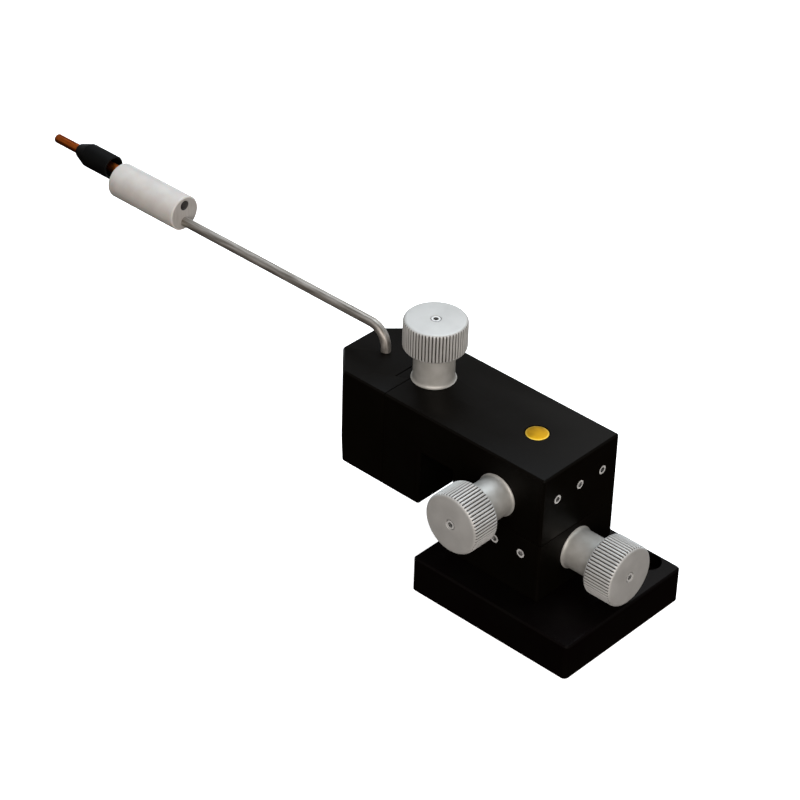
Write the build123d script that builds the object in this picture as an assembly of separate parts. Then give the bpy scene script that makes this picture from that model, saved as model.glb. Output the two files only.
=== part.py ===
from build123d import *
from math import atan2, cos, degrees, pi, radians, sin, tan
import os

# Probe micropositioner: three stacked dovetail slides, each driven by a knurled knob on a fine lead screw,
# with a bent probe arm on the front slide.
# Millimetres. +X points forwards to the probe tip, +Y to the left, +Z up.
# The origin is the centre of the base plate's underside.

# Base plate
BASE_LENGTH = 58.0
BASE_WIDTH = 50.8
BASE_HEIGHT = 11.5
BASE_CORNER = 1.5
EDGE_CHAMFER = 0.5
HOLD_HOLE_R = 2.25
HOLD_HEAD_R = 4.0
HOLD_HEAD_DEPTH = 4.4
HOLD_INSET_X = 8.5
HOLD_INSET_Y = 4.7

# Column, bridge, leg and nose
COLUMN_REAR = -9.9
COLUMN_LENGTH = 33.2
BODY_WIDTH = 32.4
BODY_TOP = 53.65
STAGE_GAP = 0.2
SEAM_HEIGHT = 31.0
BRIDGE_UNDERSIDE = 40.6
LEG_REAR = 35.7
LEG_FRONT = 49.8
LEG_BOTTOM = 22.1
NOSE_FRONT = 74.8
NOSE_CHAMFER = 9.0
WALL = 4.0

# Dovetail slides, one section for all three
DOVETAIL_NECK_HALF = 5.13
DOVETAIL_ANGLE = 60.0
DOVETAIL_HEAD = 3.7
FLANK_GAP = 0.06
CREST_GAP = 0.35
STEM_GAP = 0.3
GIB_THICKNESS = 2.5
X_SCREW_ROW = 25.2
Y_SCREW_ROW = 44.3
GIB_SCREW_PITCH = 9.7
TRAVEL = 4.0

# Set screws, cap screws and countersunk screws
SMALL_ROUND_SIDES = 16
SET_SCREW_R = 1.5
SET_RECESS = 0.1
SCREW_SEAT_DEPTH = 0.9
CAP_SCREW_R = 2.0
CAP_HEAD_R = 3.5
CAP_HEAD_HEIGHT = 4.0
CAP_POCKET_R = 3.8
CAP_POCKET_DEPTH = 4.5
FLUSH_SCREW_R = 1.5
FLUSH_HEAD_R = 2.8
FLUSH_HEAD_HEIGHT = 1.6
SCREW_COVER = 2.0
FIXED_GAP = 0.03

# Lead screws, neck bushes and knobs
X_DRIVE_HEIGHT = 22.4
Y_DRIVE_HEIGHT = 40.6
Z_DRIVE_X = 45.7
LEAD_SCREW_R = 2.5
RUNNING_GAP = 0.05
CHANNEL_HALF = 3.1
NUT_LENGTH = 8.0
NUT_ABOVE_SCREW = 2.9
NECK_R = 6.1
NECK_FLANGE_R = 6.65
NECK_FLARE_HEIGHT = 1.3
SPIGOT_R = 4.5
COLLAR_R = 3.9
COLLAR_THICKNESS = 1.4
X_NECK_LENGTH = 10.0
Y_NECK_LENGTH = 9.7
Z_NECK_LENGTH = 10.3
KNOB_R = 9.4
KNOB_LENGTH = 9.6
KNOB_GAP = 0.1
KNOB_RIM = 1.1
KNURL_TEETH = 57
KNURL_DEPTH = 0.45
KNOB_SOCKET_DEPTH = 5.0
KNOB_SCREW_RECESS = 0.1
KNOB_SCREW_LENGTH = 7.5
DRIVE_END_GAP = 2.0

# Slot, tenon and nut of the vertical slide
Z_SLOT_HALF = 2.1
Z_NUT_HEIGHT = 8.0
Z_NUT_BOTTOM = 36.0
TENON_DEPTH = 3.0
TENON_GAP = 0.05
Z_GIB_SCREW_MIDDLE = 38.0
Z_GIB_SCREW_PITCH = 9.0
GIB_END_GAP = 0.2

# Brass plug in the top face
PLUG_X = 6.6
PLUG_R = 3.6
PLUG_DEPTH = 5.0
PLUG_GAP = 0.1
PLUG_CHAMFER = 0.3

# Arm rod, insulator, probe tube and sleeve
ROD_R = 1.5
ROD_X = 64.5
ROD_BOTTOM = 34.0
ROD_HEIGHT = 61.0
ROD_BEND_R = 6.0
ROD_END_CHAMFER = 0.3
ROD_IN_INSULATOR = 12.0
CLAMP_SCREW_R = 2.0
CLAMP_SCREW_HEIGHT = 44.0
INSULATOR_REAR = 148.6
INSULATOR_LENGTH = 28.6
INSULATOR_R = 5.6
INSULATOR_CHAMFER = 1.0
BORE_SPACING = 5.65
TUBE_R = 1.5
TUBE_STEM_R = 1.3
TUBE_BORE_R = 0.8
LEAD_SOCKET_R = 1.6
LEAD_SOCKET_DEPTH = 8.0
TUBE_REAR_GAP = 0.1
TUBE_END = 206.4
TUBE_END_CHAMFER = 0.3
SOCKET_DEPTH = 12.0
TIP_SLIT = 0.3
TIP_SLIT_LENGTH = 9.0
SLEEVE_REAR = 180.2
SLEEVE_LENGTH = 15.5
SLEEVE_R = 3.8
SLEEVE_FRONT_R = 2.1
SLEEVE_TAPER = 4.6
SLEEVE_CUP_R = 3.1
SLEEVE_CUP_DEPTH = 10.0

# Places that follow from the sizes above
SLOPE = tan(radians(DOVETAIL_ANGLE))
DOVETAIL_CREST_HALF = DOVETAIL_NECK_HALF + DOVETAIL_HEAD / SLOPE
COLUMN_FRONT = COLUMN_REAR + COLUMN_LENGTH
COLUMN_MIDDLE = COLUMN_REAR + COLUMN_LENGTH / 2
SIDE = BODY_WIDTH / 2
X_STEM = X_SCREW_ROW - DOVETAIL_HEAD / 2 - BASE_HEIGHT
Y_STEM = Y_SCREW_ROW - DOVETAIL_HEAD / 2 - SEAM_HEIGHT
RAIL_SETBACK = WALL + COLLAR_THICKNESS + TRAVEL + CREST_GAP
X_RAIL_REAR = COLUMN_REAR + RAIL_SETBACK
Y_RAIL_LEFT = SIDE - RAIL_SETBACK
NOSE_REAR = LEG_FRONT + STAGE_GAP
TUBE_HEIGHT = ROD_HEIGHT + BORE_SPACING
INSULATOR_HEIGHT = ROD_HEIGHT + BORE_SPACING / 2
INSULATOR_FRONT = INSULATOR_REAR + INSULATOR_LENGTH
LEAD_SOCKET_END = INSULATOR_REAR + LEAD_SOCKET_DEPTH
SLEEVE_FRONT = SLEEVE_REAR + SLEEVE_LENGTH

# One plane for each slide: x runs across the rail towards the gib, y from the shoulder to the crest,
# z along the travel.
X_SLIDE = Plane(origin=(0, 0, BASE_HEIGHT), x_dir=(0, 1, 0), z_dir=(1, 0, 0))
Y_SLIDE = Plane(origin=(COLUMN_MIDDLE, 0, SEAM_HEIGHT), x_dir=(-1, 0, 0), z_dir=(0, 1, 0))
Z_SLIDE = Plane(origin=(LEG_FRONT, 0, 0), x_dir=(0, -1, 0), z_dir=(0, 0, 1))

# One plane for each drive: z points out of the wall that carries the neck bush.
X_DRIVE = Plane(origin=(COLUMN_REAR, 0, X_DRIVE_HEIGHT), x_dir=(0, 1, 0), z_dir=(-1, 0, 0))
Y_DRIVE = Plane(origin=(COLUMN_MIDDLE, SIDE, Y_DRIVE_HEIGHT), x_dir=(1, 0, 0), z_dir=(0, 1, 0))
Z_DRIVE = Plane(origin=(Z_DRIVE_X, 0, BODY_TOP), x_dir=(1, 0, 0), z_dir=(0, 0, 1))


def span_box(x0, x1, y0, y1, z0, z1):
    """Box from its lowest and highest coordinates."""
    return Pos((x0 + x1) / 2, (y0 + y1) / 2, (z0 + z1) / 2) * Box(x1 - x0, y1 - y0, z1 - z0)


def rod_between(z0, z1, radius):
    """Cylinder on the local z axis from z0 to z1."""
    return Pos(0, 0, (z0 + z1) / 2) * Cylinder(radius, z1 - z0)


def small_rod(z0, z1, radius):
    """Screw or screw hole on the local z axis, with a few flats in place of a full round."""
    return Pos(0, 0, z0) * extrude(RegularPolygon(radius, SMALL_ROUND_SIDES), z1 - z0)


def small_cone(z0, z1, radius0, radius1, sides):
    """Many-sided frustum on the local z axis."""
    apothem_drop = (radius0 - radius1) * cos(pi / sides)
    slant = degrees(atan2(apothem_drop, z1 - z0))
    return Pos(0, 0, z0) * extrude(RegularPolygon(radius0, sides), z1 - z0, taper=slant)


def prism(points, start, end):
    """Outline in the local xy plane, carried along z from start to end. A point given twice counts once."""
    outline = make_face(Polyline(*dict.fromkeys(points), close=True))
    return Pos(0, 0, start) * extrude(outline, end - start)


def turned(points):
    """Half section given as (radius, height) points, turned about the local z axis."""
    section = make_face(Polyline(*[(radius, 0, height) for radius, height in points], close=True))
    return revolve(section, Axis.Z)


def edges_along(shape, axis, keep):
    """Edges that run along an axis and whose middle passes the test."""
    return [edge for edge in shape.edges().filter_by(axis) if keep(edge.center())]


# Dovetail slides

def rail_section(stem):
    """Male dovetail: a straight stem under a head that widens to the crest."""
    crest = stem + DOVETAIL_HEAD
    return [
        (-DOVETAIL_NECK_HALF, 0),
        (DOVETAIL_NECK_HALF, 0),
        (DOVETAIL_NECK_HALF, stem),
        (DOVETAIL_CREST_HALF, crest),
        (-DOVETAIL_CREST_HALF, crest),
        (-DOVETAIL_NECK_HALF, stem),
    ]


def groove_section(stem, below):
    """Female dovetail that clears the rail, with room for the gib on the positive side."""
    lip = DOVETAIL_NECK_HALF + STEM_GAP
    lip_rise = (STEM_GAP - FLANK_GAP) * SLOPE
    ceiling = stem + DOVETAIL_HEAD + CREST_GAP
    corner = DOVETAIL_CREST_HALF + FLANK_GAP + CREST_GAP / SLOPE
    pocket = GIB_THICKNESS + FLANK_GAP
    return [
        (-lip, -below),
        (-lip, stem + lip_rise),
        (-corner, ceiling),
        (corner + pocket, ceiling),
        (DOVETAIL_NECK_HALF + FLANK_GAP + pocket, stem),
        (lip, stem),
        (lip, -below),
    ]


def gib_section(stem):
    """Strip between the rail's flank and the wall of the groove, with the rail's slope on both sides."""
    rise = FLANK_GAP * SLOPE
    inner = DOVETAIL_NECK_HALF + FLANK_GAP
    low = (rise, inner + rise / SLOPE)
    high = (DOVETAIL_HEAD, inner + DOVETAIL_HEAD / SLOPE)
    return [
        (low[1], stem + low[0]),
        (low[1] + GIB_THICKNESS, stem + low[0]),
        (high[1] + GIB_THICKNESS, stem + high[0]),
        (high[1], stem + high[0]),
    ]


def gib_screw_tip(stem):
    """Distance from the slide's middle to the flat seats in the gib."""
    inner = DOVETAIL_NECK_HALF + FLANK_GAP + DOVETAIL_HEAD / 2 / SLOPE
    return inner + GIB_THICKNESS - SCREW_SEAT_DEPTH


def across(stem, travel_place):
    """Plane at the middle of the flank whose z points out of the gib's side."""
    return Plane(origin=(0, stem + DOVETAIL_HEAD / 2, travel_place), x_dir=(0, 0, 1), z_dir=(1, 0, 0))


def gib(stem, start, end, screw_places):
    """Gib strip with a notch milled across it as a flat seat for each adjusting screw."""
    strip = prism(gib_section(stem), start, end)
    tip = gib_screw_tip(stem)
    half = SET_SCREW_R + FIXED_GAP
    for place in screw_places:
        notch = span_box(-half, half, -GIB_THICKNESS * 2, GIB_THICKNESS * 2, tip, tip + GIB_THICKNESS * 2)
        strip -= across(stem, place) * notch
    return strip


def gib_screws(stem, face, screw_places):
    """Set screws from the outer face down to the gib's seats."""
    screw = small_rod(gib_screw_tip(stem), face - SET_RECESS, SET_SCREW_R)
    return [across(stem, place) * screw for place in screw_places]


def gib_screw_holes(stem, face, screw_places):
    """Tapped holes for the set screws."""
    hole = small_rod(DOVETAIL_NECK_HALF + GIB_THICKNESS, face + 1, SET_SCREW_R + FIXED_GAP)
    return [across(stem, place) * hole for place in screw_places]


def slotted_rail(stem, start, end, screw_height):
    """Rail with an open channel along its crest for the lead screw and its nut."""
    rail = prism(rail_section(stem), start, end)
    crest = stem + DOVETAIL_HEAD
    floor = screw_height - CHANNEL_HALF
    channel = span_box(-CHANNEL_HALF, CHANNEL_HALF, floor, crest + 1, start - 1, end + 1)
    return rail - channel


def channel_nut(screw_height, start):
    """Brass nut that fills the rail's channel around the lead screw."""
    half = CHANNEL_HALF - FIXED_GAP
    floor = screw_height - half
    nut = span_box(-half, half, floor, screw_height + NUT_ABOVE_SCREW, start, start + NUT_LENGTH)
    return nut - Pos(0, screw_height, 0) * rod_between(start - 1, start + NUT_LENGTH + 1, LEAD_SCREW_R + RUNNING_GAP)


# Drives

def neck(length):
    """Neck bush: spigot in the wall, a flare against it and a long plain barrel outside."""
    bush = turned([
        (0, -WALL),
        (SPIGOT_R, -WALL),
        (SPIGOT_R, 0),
        (NECK_FLANGE_R, 0),
        (NECK_R, NECK_FLARE_HEIGHT),
        (NECK_R, length),
        (0, length),
    ])
    return bush - rod_between(-WALL - 1, length + 1, LEAD_SCREW_R + RUNNING_GAP)


def neck_hole():
    """Hole in the wall for the neck's spigot, deep enough for the lead screw's collar behind it."""
    return rod_between(-WALL - COLLAR_THICKNESS - RUNNING_GAP * 2, 1, SPIGOT_R + FIXED_GAP)


def lead_screw(neck_length, reach):
    """Lead screw from its inner end at -reach to its seat in the knob.

    Its collar behind the wall and the knob in front of the neck hold it endways.
    """
    outer = neck_length + KNOB_GAP + KNOB_SOCKET_DEPTH - FIXED_GAP
    collar_top = -WALL - RUNNING_GAP
    screw = rod_between(-reach, outer, LEAD_SCREW_R)
    screw += rod_between(collar_top - COLLAR_THICKNESS, collar_top, COLLAR_R)
    hole_bottom = neck_length + KNOB_GAP + KNOB_LENGTH - KNOB_SCREW_RECESS - KNOB_SCREW_LENGTH - FIXED_GAP
    return screw - small_rod(hole_bottom, outer + 1, SET_SCREW_R + FIXED_GAP)


def knurl_section():
    """Closed zigzag of straight knurl teeth."""
    step = pi / KNURL_TEETH
    radii = (KNOB_R - KNURL_DEPTH, KNOB_R)
    return [(radii[i % 2] * cos(i * step), radii[i % 2] * sin(i * step)) for i in range(2 * KNURL_TEETH)]


def knob(neck_length):
    """Knob with a straight knurl between two bevelled rims, and a blind socket for the lead screw."""
    inner = neck_length + KNOB_GAP
    face = inner + KNOB_LENGTH
    root = KNOB_R - KNURL_DEPTH
    body = prism(knurl_section(), inner + KNOB_RIM, face - KNOB_RIM)
    rim = small_cone(0, KNOB_RIM, root, KNOB_R - KNOB_RIM, KNURL_TEETH)
    body += Pos(0, 0, face - KNOB_RIM) * rim
    body += Pos(0, 0, inner + KNOB_RIM) * mirror(rim, Plane.XY)
    body -= rod_between(inner - 1, inner + KNOB_SOCKET_DEPTH, LEAD_SCREW_R + FIXED_GAP)
    return body - small_rod(inner, face + 1, SET_SCREW_R + FIXED_GAP)


def knob_screw(neck_length):
    """Set screw in the knob's centre hole, screwed into the end of the lead screw."""
    outer = neck_length + KNOB_GAP + KNOB_LENGTH - KNOB_SCREW_RECESS
    return small_rod(outer - KNOB_SCREW_LENGTH, outer, SET_SCREW_R)


# Base

HOLD_PLACES = [(side * (BASE_LENGTH / 2 - HOLD_INSET_X), HOLD_INSET_Y - BASE_WIDTH / 2) for side in (-1, 1)]
X_RAIL_LENGTH = COLUMN_FRONT - X_RAIL_REAR
X_RAIL_SCREW_PLACES = [X_RAIL_REAR + X_RAIL_LENGTH * share for share in (0.3, 0.8)]
CAP_SCREW_TIP = X_DRIVE_HEIGHT - CHANNEL_HALF - SCREW_COVER


def base_plate():
    """Steel slab with two counterbored hold-down holes and two screw pockets underneath."""
    plate = Pos(0, 0, BASE_HEIGHT / 2) * Box(BASE_LENGTH, BASE_WIDTH, BASE_HEIGHT)
    plate = fillet(plate.edges().filter_by(Axis.Z), BASE_CORNER)
    plate = chamfer(plate.faces().sort_by(Axis.Z)[-1].edges(), EDGE_CHAMFER)
    for x, y in HOLD_PLACES:
        plate -= Pos(x, y, 0) * rod_between(-1, BASE_HEIGHT + 1, HOLD_HOLE_R)
        plate -= Pos(x, y, 0) * rod_between(BASE_HEIGHT - HOLD_HEAD_DEPTH, BASE_HEIGHT + 1, HOLD_HEAD_R)
    for x in X_RAIL_SCREW_PLACES:
        plate -= Pos(x, 0, 0) * small_rod(-1, BASE_HEIGHT + 1, CAP_SCREW_R + FIXED_GAP)
        plate -= Pos(x, 0, 0) * small_rod(-1, CAP_POCKET_DEPTH, CAP_POCKET_R)
    return plate


def x_rail():
    """Rail along X with tapped holes for its two screws."""
    rail = X_SLIDE * slotted_rail(X_STEM, X_RAIL_REAR, COLUMN_FRONT, X_DRIVE_HEIGHT - BASE_HEIGHT)
    for x in X_RAIL_SCREW_PLACES:
        rail -= Pos(x, 0, 0) * small_rod(0, CAP_SCREW_TIP + FIXED_GAP, CAP_SCREW_R + FIXED_GAP)
    return rail


def x_rail_screws():
    """Cap screws with their heads in the base's underside."""
    head_bottom = CAP_POCKET_DEPTH - CAP_HEAD_HEIGHT
    screw = small_rod(head_bottom, CAP_POCKET_DEPTH, CAP_HEAD_R)
    screw += small_rod(head_bottom, CAP_SCREW_TIP, CAP_SCREW_R)
    return [Pos(x, 0, 0) * screw for x in X_RAIL_SCREW_PLACES]


def x_drive_nut():
    middle = (X_RAIL_SCREW_PLACES[0] + X_RAIL_SCREW_PLACES[1]) / 2
    return X_SLIDE * channel_nut(X_DRIVE_HEIGHT - BASE_HEIGHT, middle - NUT_LENGTH / 2)


# X stage

X_GIB_PLACES = [COLUMN_MIDDLE + GIB_SCREW_PITCH * step for step in (-1, 0, 1)]
Y_GIB_PLACES = [GIB_SCREW_PITCH * step for step in (-1, 0, 1)]
Y_RAIL_SCREW_PLACES = [-DOVETAIL_NECK_HALF, DOVETAIL_NECK_HALF]
X_GROOVE_CEILING = BASE_HEIGHT + X_STEM + DOVETAIL_HEAD + CREST_GAP
FLUSH_SCREW_TIP = Y_DRIVE_HEIGHT - CHANNEL_HALF - SCREW_COVER


def flush_screw(gap):
    """Countersunk screw from the groove's ceiling upwards, or the hole for it where a gap is given."""
    low = X_GROOVE_CEILING
    head = small_cone(low, low + FLUSH_HEAD_HEIGHT, FLUSH_HEAD_R + gap, FLUSH_SCREW_R + gap, SMALL_ROUND_SIDES)
    return head + small_rod(low, FLUSH_SCREW_TIP + gap, FLUSH_SCREW_R + gap)


def x_block():
    """Lower half of the column: dovetail groove open to the front, wall with the neck hole at the rear."""
    block = span_box(COLUMN_REAR, COLUMN_FRONT, -SIDE, SIDE, BASE_HEIGHT + STAGE_GAP, SEAM_HEIGHT)
    block = chamfer(block.edges().filter_by(Axis.Z), EDGE_CHAMFER)
    block -= X_SLIDE * prism(groove_section(X_STEM, 1), COLUMN_REAR + WALL, COLUMN_FRONT + 1)
    block -= [X_SLIDE * hole for hole in gib_screw_holes(X_STEM, SIDE, X_GIB_PLACES)]
    block -= X_DRIVE * neck_hole()
    block -= [Pos(COLUMN_MIDDLE, y, 0) * flush_screw(FIXED_GAP) for y in Y_RAIL_SCREW_PLACES]
    return block


def x_gib():
    return X_SLIDE * gib(X_STEM, COLUMN_REAR + WALL + GIB_END_GAP, COLUMN_FRONT - GIB_END_GAP, X_GIB_PLACES)


def x_gib_screws():
    return [X_SLIDE * screw for screw in gib_screws(X_STEM, SIDE, X_GIB_PLACES)]


def y_rail():
    """Rail along Y on top of the X stage, with tapped holes for its two screws."""
    rail = Y_SLIDE * slotted_rail(Y_STEM, -SIDE, Y_RAIL_LEFT, Y_DRIVE_HEIGHT - SEAM_HEIGHT)
    rail -= [Pos(COLUMN_MIDDLE, y, 0) * flush_screw(FIXED_GAP) for y in Y_RAIL_SCREW_PLACES]
    return rail


def y_rail_screws():
    """Countersunk screws from inside the X stage's groove up into the Y rail."""
    return [Pos(COLUMN_MIDDLE, y, 0) * flush_screw(0) for y in Y_RAIL_SCREW_PLACES]


def y_drive_nut():
    middle = (Y_RAIL_LEFT - SIDE) / 2
    return Y_SLIDE * channel_nut(Y_DRIVE_HEIGHT - SEAM_HEIGHT, middle - NUT_LENGTH / 2)


# Arm

Z_CHANNEL_TOP = BODY_TOP - WALL
Z_GIB_PLACES = [Z_GIB_SCREW_MIDDLE + Z_GIB_SCREW_PITCH * step for step in (-1, 0, 1)]


def arm_block():
    """Upper half of the column, bridge and front leg, one piece, with the vertical male dovetail."""
    side_view = [
        (COLUMN_REAR, SEAM_HEIGHT + STAGE_GAP),
        (COLUMN_FRONT, SEAM_HEIGHT + STAGE_GAP),
        (COLUMN_FRONT, BRIDGE_UNDERSIDE),
        (LEG_REAR, BRIDGE_UNDERSIDE),
        (LEG_REAR, LEG_BOTTOM),
        (LEG_FRONT, LEG_BOTTOM),
        (LEG_FRONT, BODY_TOP),
        (COLUMN_REAR, BODY_TOP),
    ]
    block = Plane.XZ * prism(side_view, -SIDE, SIDE)
    outer = edges_along(block, Axis.Z, lambda at: at.X < LEG_FRONT - 1)
    outer += edges_along(block, Axis.X, lambda at: at.Z > BODY_TOP - 1)
    outer += edges_along(block, Axis.Y, lambda at: at.Z > BODY_TOP - 1 and at.X < LEG_REAR)
    block = chamfer(outer, EDGE_CHAMFER)
    block += Z_SLIDE * prism(rail_section(0), LEG_BOTTOM, BODY_TOP)
    block -= Y_SLIDE * prism(groove_section(Y_STEM, 1), -SIDE - 1, SIDE - WALL)
    block -= [Y_SLIDE * hole for hole in gib_screw_holes(Y_STEM, COLUMN_LENGTH / 2, Y_GIB_PLACES)]
    block -= Y_DRIVE * neck_hole()
    block -= Z_DRIVE * neck_hole()
    channel = CHANNEL_HALF
    block -= span_box(
        Z_DRIVE_X - channel, Z_DRIVE_X + channel, -channel, channel, LEG_BOTTOM - 1, Z_CHANNEL_TOP
    )
    block -= span_box(Z_DRIVE_X, NOSE_FRONT, -Z_SLOT_HALF, Z_SLOT_HALF, LEG_BOTTOM - 1, Z_CHANNEL_TOP)
    block -= Pos(PLUG_X, 0, 0) * rod_between(BODY_TOP - PLUG_DEPTH, BODY_TOP + 1, PLUG_R + PLUG_GAP)
    return block


def y_gib():
    return Y_SLIDE * gib(Y_STEM, GIB_END_GAP - SIDE, SIDE - WALL - GIB_END_GAP, Y_GIB_PLACES)


def y_gib_screws():
    return [Y_SLIDE * screw for screw in gib_screws(Y_STEM, COLUMN_LENGTH / 2, Y_GIB_PLACES)]


def brass_plug():
    plug = rod_between(BODY_TOP - PLUG_DEPTH, BODY_TOP, PLUG_R)
    return Pos(PLUG_X, 0, 0) * chamfer(plug.edges().sort_by(Axis.Z)[-1], PLUG_CHAMFER)


# Z carriage

def nose_carriage():
    """Front block with two big corner chamfers, the groove at its rear and the bore for the arm's rod."""
    corner = SIDE - NOSE_CHAMFER
    outline = [
        (NOSE_REAR, -SIDE),
        (NOSE_FRONT - NOSE_CHAMFER, -SIDE),
        (NOSE_FRONT, -corner),
        (NOSE_FRONT, corner),
        (NOSE_FRONT - NOSE_CHAMFER, SIDE),
        (NOSE_REAR, SIDE),
    ]
    nose = prism(outline, LEG_BOTTOM, BODY_TOP)
    outer = edges_along(nose, Axis.Z, lambda at: at.X > NOSE_REAR + 1)
    outer += [edge for edge in nose.faces().sort_by(Axis.Z)[-1].edges() if edge.center().X > NOSE_REAR + 1]
    nose = chamfer(outer, EDGE_CHAMFER)
    nose -= Z_SLIDE * prism(groove_section(0, 1), LEG_BOTTOM - 1, BODY_TOP + 1)
    nose -= [Z_SLIDE * hole for hole in gib_screw_holes(0, SIDE, Z_GIB_PLACES)]
    nose -= Pos(ROD_X, 0, 0) * rod_between(ROD_BOTTOM - 1, BODY_TOP + 1, ROD_R + RUNNING_GAP)
    clamp = Plane(origin=(ROD_X, 0, CLAMP_SCREW_HEIGHT), x_dir=(0, 1, 0), z_dir=(1, 0, 0))
    nose -= clamp * small_rod(0, NOSE_FRONT - ROD_X + 1, CLAMP_SCREW_R + FIXED_GAP)
    tenon = Z_SLOT_HALF - TENON_GAP + FIXED_GAP
    groove_floor = LEG_FRONT + DOVETAIL_HEAD + CREST_GAP
    nose -= span_box(
        groove_floor - 1, groove_floor + TENON_DEPTH + FIXED_GAP, -tenon, tenon,
        Z_NUT_BOTTOM - FIXED_GAP, Z_NUT_BOTTOM + Z_NUT_HEIGHT + FIXED_GAP
    )
    return nose


def z_gib():
    return Z_SLIDE * gib(0, LEG_BOTTOM + GIB_END_GAP, BODY_TOP - GIB_END_GAP, Z_GIB_PLACES)


def z_gib_screws():
    return [Z_SLIDE * screw for screw in gib_screws(0, SIDE, Z_GIB_PLACES)]


def z_drive_nut():
    """Brass nut in the leg's channel, with a tenon through the slot into the carriage."""
    half = CHANNEL_HALF - RUNNING_GAP * 2
    tenon = Z_SLOT_HALF - TENON_GAP
    tenon_end = LEG_FRONT + DOVETAIL_HEAD + CREST_GAP + TENON_DEPTH
    top = Z_NUT_BOTTOM + Z_NUT_HEIGHT
    nut = span_box(Z_DRIVE_X - half, Z_DRIVE_X + half, -half, half, Z_NUT_BOTTOM, top)
    nut += span_box(Z_DRIVE_X, tenon_end, -tenon, tenon, Z_NUT_BOTTOM, top)
    return nut - Pos(Z_DRIVE_X, 0, 0) * rod_between(Z_NUT_BOTTOM - 1, top + 1, LEAD_SCREW_R + RUNNING_GAP)


def arm_clamp_screw():
    """Set screw from the nose's front face to the rod."""
    clamp = Plane(origin=(ROD_X, 0, CLAMP_SCREW_HEIGHT), x_dir=(0, 1, 0), z_dir=(1, 0, 0))
    return clamp * small_rod(ROD_R + RUNNING_GAP, NOSE_FRONT - ROD_X - SET_RECESS, CLAMP_SCREW_R)


# Probe arm

def forward_line(height):
    """Plane whose z points forwards at the given height."""
    return Plane(origin=(0, 0, height), x_dir=(0, 1, 0), z_dir=(1, 0, 0))


def bent_rod():
    """Steel rod: upright in the nose, one bend, then straight forwards into the insulator."""
    bend_start = ROD_HEIGHT - ROD_BEND_R
    rod = Pos(ROD_X, 0, 0) * rod_between(ROD_BOTTOM, bend_start, ROD_R)
    rod = chamfer(rod.edges().filter_by(GeomType.CIRCLE).sort_by(Axis.Z)[0], ROD_END_CHAMFER)
    bend_axis = Axis((ROD_X + ROD_BEND_R, 0, bend_start), (0, 1, 0))
    rod += revolve(Pos(ROD_X, 0, bend_start) * Circle(ROD_R), bend_axis, 90)
    return rod + forward_line(ROD_HEIGHT) * rod_between(ROD_X + ROD_BEND_R, INSULATOR_REAR + ROD_IN_INSULATOR, ROD_R)


def insulator():
    """White plastic cylinder with a bore for the rod and, above it, a stepped one for test lead and tube."""
    body = rod_between(INSULATOR_REAR, INSULATOR_FRONT, INSULATOR_R)
    body = forward_line(INSULATOR_HEIGHT) * chamfer(body.edges().filter_by(GeomType.CIRCLE), INSULATOR_CHAMFER)
    rod_bore = rod_between(INSULATOR_REAR - 1, INSULATOR_REAR + ROD_IN_INSULATOR + FIXED_GAP, ROD_R + FIXED_GAP)
    tube_bore = rod_between(LEAD_SOCKET_END, INSULATOR_FRONT + 1, TUBE_STEM_R + FIXED_GAP)
    tube_bore += rod_between(INSULATOR_REAR - 1, LEAD_SOCKET_END, LEAD_SOCKET_R)
    body -= forward_line(ROD_HEIGHT) * rod_bore
    return body - forward_line(TUBE_HEIGHT) * tube_bore


def probe_tube():
    """Copper tube: needle socket in its split front end, and a thinner stem that fits in the insulator."""
    tube = rod_between(INSULATOR_FRONT + FIXED_GAP, TUBE_END, TUBE_R)
    tube = chamfer(tube.edges().filter_by(GeomType.CIRCLE).sort_by(Axis.Z)[-1], TUBE_END_CHAMFER)
    tube += rod_between(LEAD_SOCKET_END + TUBE_REAR_GAP, INSULATOR_FRONT + TUBE_R, TUBE_STEM_R)
    tube -= rod_between(TUBE_END - SOCKET_DEPTH, TUBE_END + 1, TUBE_BORE_R)
    tube -= span_box(
        -TIP_SLIT / 2, TIP_SLIT / 2, -TUBE_R - 1, TUBE_R + 1, TUBE_END - TIP_SLIT_LENGTH, TUBE_END + 1
    )
    return forward_line(TUBE_HEIGHT) * tube


def tip_sleeve():
    """Black sleeve: open cup at the rear, taper to the tube at the front."""
    shoulder = SLEEVE_FRONT - SLEEVE_TAPER
    sleeve = turned([
        (0, SLEEVE_REAR),
        (SLEEVE_R, SLEEVE_REAR),
        (SLEEVE_R, shoulder),
        (SLEEVE_FRONT_R, SLEEVE_FRONT),
        (0, SLEEVE_FRONT),
    ])
    sleeve -= rod_between(SLEEVE_REAR - 1, SLEEVE_FRONT + 1, TUBE_R + RUNNING_GAP)
    sleeve -= rod_between(SLEEVE_REAR - 1, SLEEVE_REAR + SLEEVE_CUP_DEPTH, SLEEVE_CUP_R)
    return forward_line(TUBE_HEIGHT) * sleeve


# Reach of each lead screw below its wall's outer face
X_REACH = COLUMN_LENGTH - TRAVEL - DRIVE_END_GAP
Y_REACH = BODY_WIDTH - TRAVEL - DRIVE_END_GAP
Z_REACH = BODY_TOP - LEG_BOTTOM - DRIVE_END_GAP

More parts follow.
